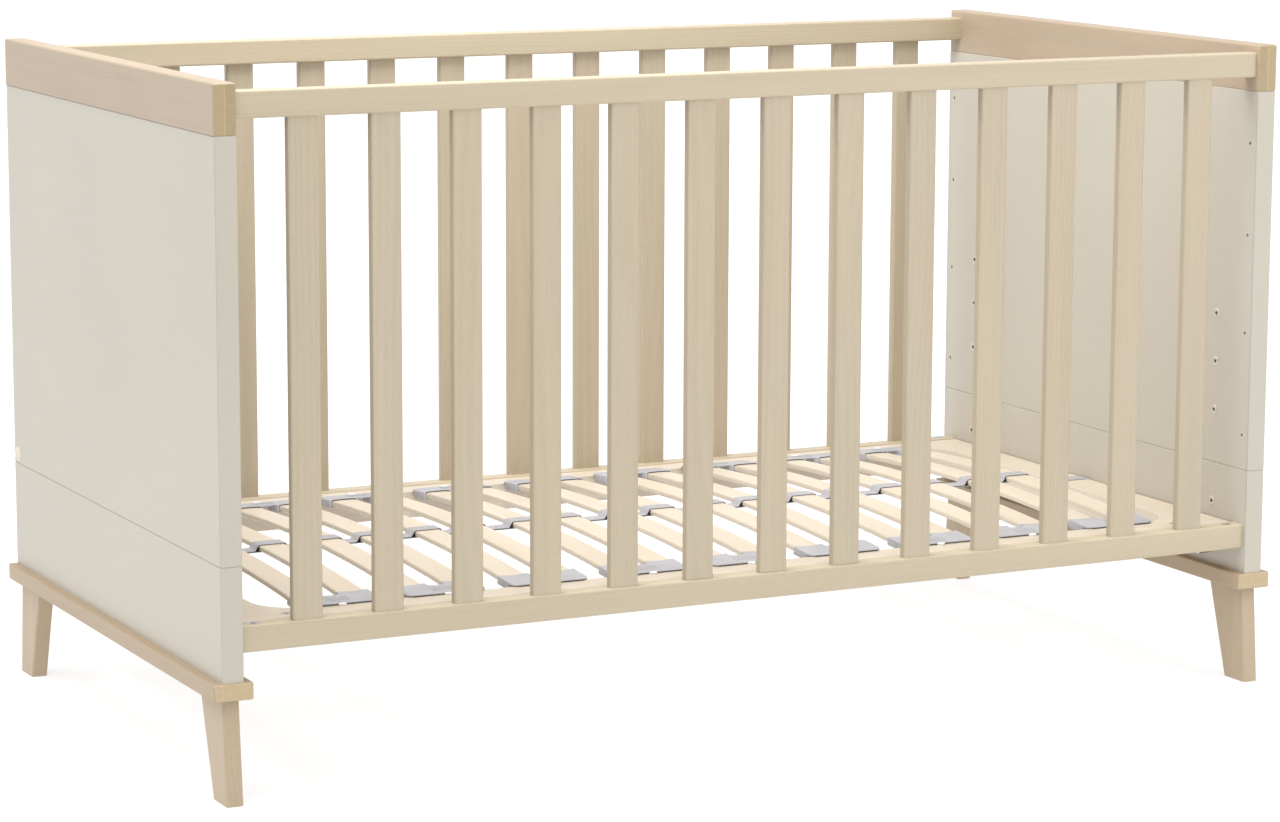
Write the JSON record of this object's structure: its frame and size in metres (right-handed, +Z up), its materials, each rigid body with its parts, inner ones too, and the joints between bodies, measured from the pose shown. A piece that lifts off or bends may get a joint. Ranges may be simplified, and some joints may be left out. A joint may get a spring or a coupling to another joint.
{
  "type": "baby crib",
  "caption": "Baby crib with solid cream end panels on wooden plinths and splayed legs, barred side gates with lift-out slip bars, and a sprung slatted base with several heights.",
  "frame": {"origin": "on the floor, under the middle of the crib", "axes": "+X along the length, +Y across from the front gate to the rear gate, +Z up"},
  "size_m": [1.48, 0.773, 0.842],
  "materials": {
    "lacquered_beech": "satin lacquer",
    "cream_board": "smooth cream paint",
    "base_birch": "clear satin",
    "slat_birch": "clear satin",
    "dowel_beech": "raw",
    "holder_rubber": "matt moulded",
    "belt_webbing": "woven",
    "white_plastic": "moulded",
    "plug_plastic": "moulded",
    "zinc": "zinc plated",
    "bolt_steel": "zinc plated",
    "insert_metal": "zinc plated",
    "spring_steel": "drawn wire"
  },
  "bodies": {
    "frame": {"cam_bolts": "bolt_steel", "cam_locks": "zinc", "front_bar_01": "lacquered_beech", "front_bar_02": "lacquered_beech", "front_bar_03": "lacquered_beech", "front_bar_04": "lacquered_beech", "front_bar_05": "lacquered_beech", "front_bar_09": "lacquered_beech", "front_bar_10": "lacquered_beech", "front_bar_11": "lacquered_beech", "front_bar_12": "lacquered_beech", "front_bar_13": "lacquered_beech", "front_bottom_rail": "lacquered_beech", "front_top_rail": "lacquered_beech", "height_inserts": "insert_metal", "hole_plugs": "plug_plastic", "left_back_leg": "lacquered_beech", "left_front_leg": "lacquered_beech", "left_lower_board": "cream_board", "left_plinth": "lacquered_beech", "left_top_cap": "lacquered_beech", "left_upper_board": "cream_board", "leg_bolts": "bolt_steel", "rear_bars": "lacquered_beech", "rear_bottom_rail": "lacquered_beech", "rear_top_rail": "lacquered_beech", "right_back_leg": "lacquered_beech", "right_front_leg": "lacquered_beech", "right_lower_board": "cream_board", "right_plinth": "lacquered_beech", "right_top_cap": "lacquered_beech", "right_upper_board": "cream_board", "slip_bar_left_spring": "spring_steel", "slip_bar_middle_spring": "spring_steel", "slip_bar_right_spring": "spring_steel", "support_pins": "bolt_steel", "wooden_dowels": "dowel_beech"},
    "base": {"base_cam_bolts": "bolt_steel", "base_cam_locks": "zinc", "base_front_rail": "base_birch", "base_left_board": "base_birch", "base_rear_rail": "base_birch", "base_right_board": "base_birch", "centre_belt": "belt_webbing", "front_slat_holders": "holder_rubber", "holder_pegs": "white_plastic", "rear_slat_holders": "holder_rubber", "slat_pair_1": "slat_birch", "slat_pair_2": "slat_birch", "slat_pair_3": "slat_birch", "slat_pair_4": "slat_birch", "slat_pair_5": "slat_birch", "slat_pair_6": "slat_birch", "slat_pair_7": "slat_birch", "slat_pair_8": "slat_birch", "slat_pair_9": "slat_birch"},
    "slip_bar_left": {"slip_bar_left": "lacquered_beech"},
    "slip_bar_middle": {"slip_bar_middle": "lacquered_beech"},
    "slip_bar_right": {"slip_bar_right": "lacquered_beech"}
  },
  "joints": [
    {"name": "base_height", "type": "slide", "parent": "frame", "child": "base", "axis": [0, 0, 1], "range_m": [0, 0.3155]},
    {"name": "slip_bar_left_lift", "type": "slide", "parent": "frame", "child": "slip_bar_left", "axis": [0, 0, 1], "range_m": [0, 0.01], "stiffness_N_per_m": 400, "springref_m": -0.006, "deforming": ["slip_bar_left_spring"]},
    {"name": "slip_bar_middle_lift", "type": "slide", "parent": "frame", "child": "slip_bar_middle", "axis": [0, 0, 1], "range_m": [0, 0.01], "stiffness_N_per_m": 400, "springref_m": -0.006, "deforming": ["slip_bar_middle_spring"]},
    {"name": "slip_bar_right_lift", "type": "slide", "parent": "frame", "child": "slip_bar_right", "axis": [0, 0, 1], "range_m": [0, 0.01], "stiffness_N_per_m": 400, "springref_m": -0.006, "deforming": ["slip_bar_right_spring"]}
  ]
}
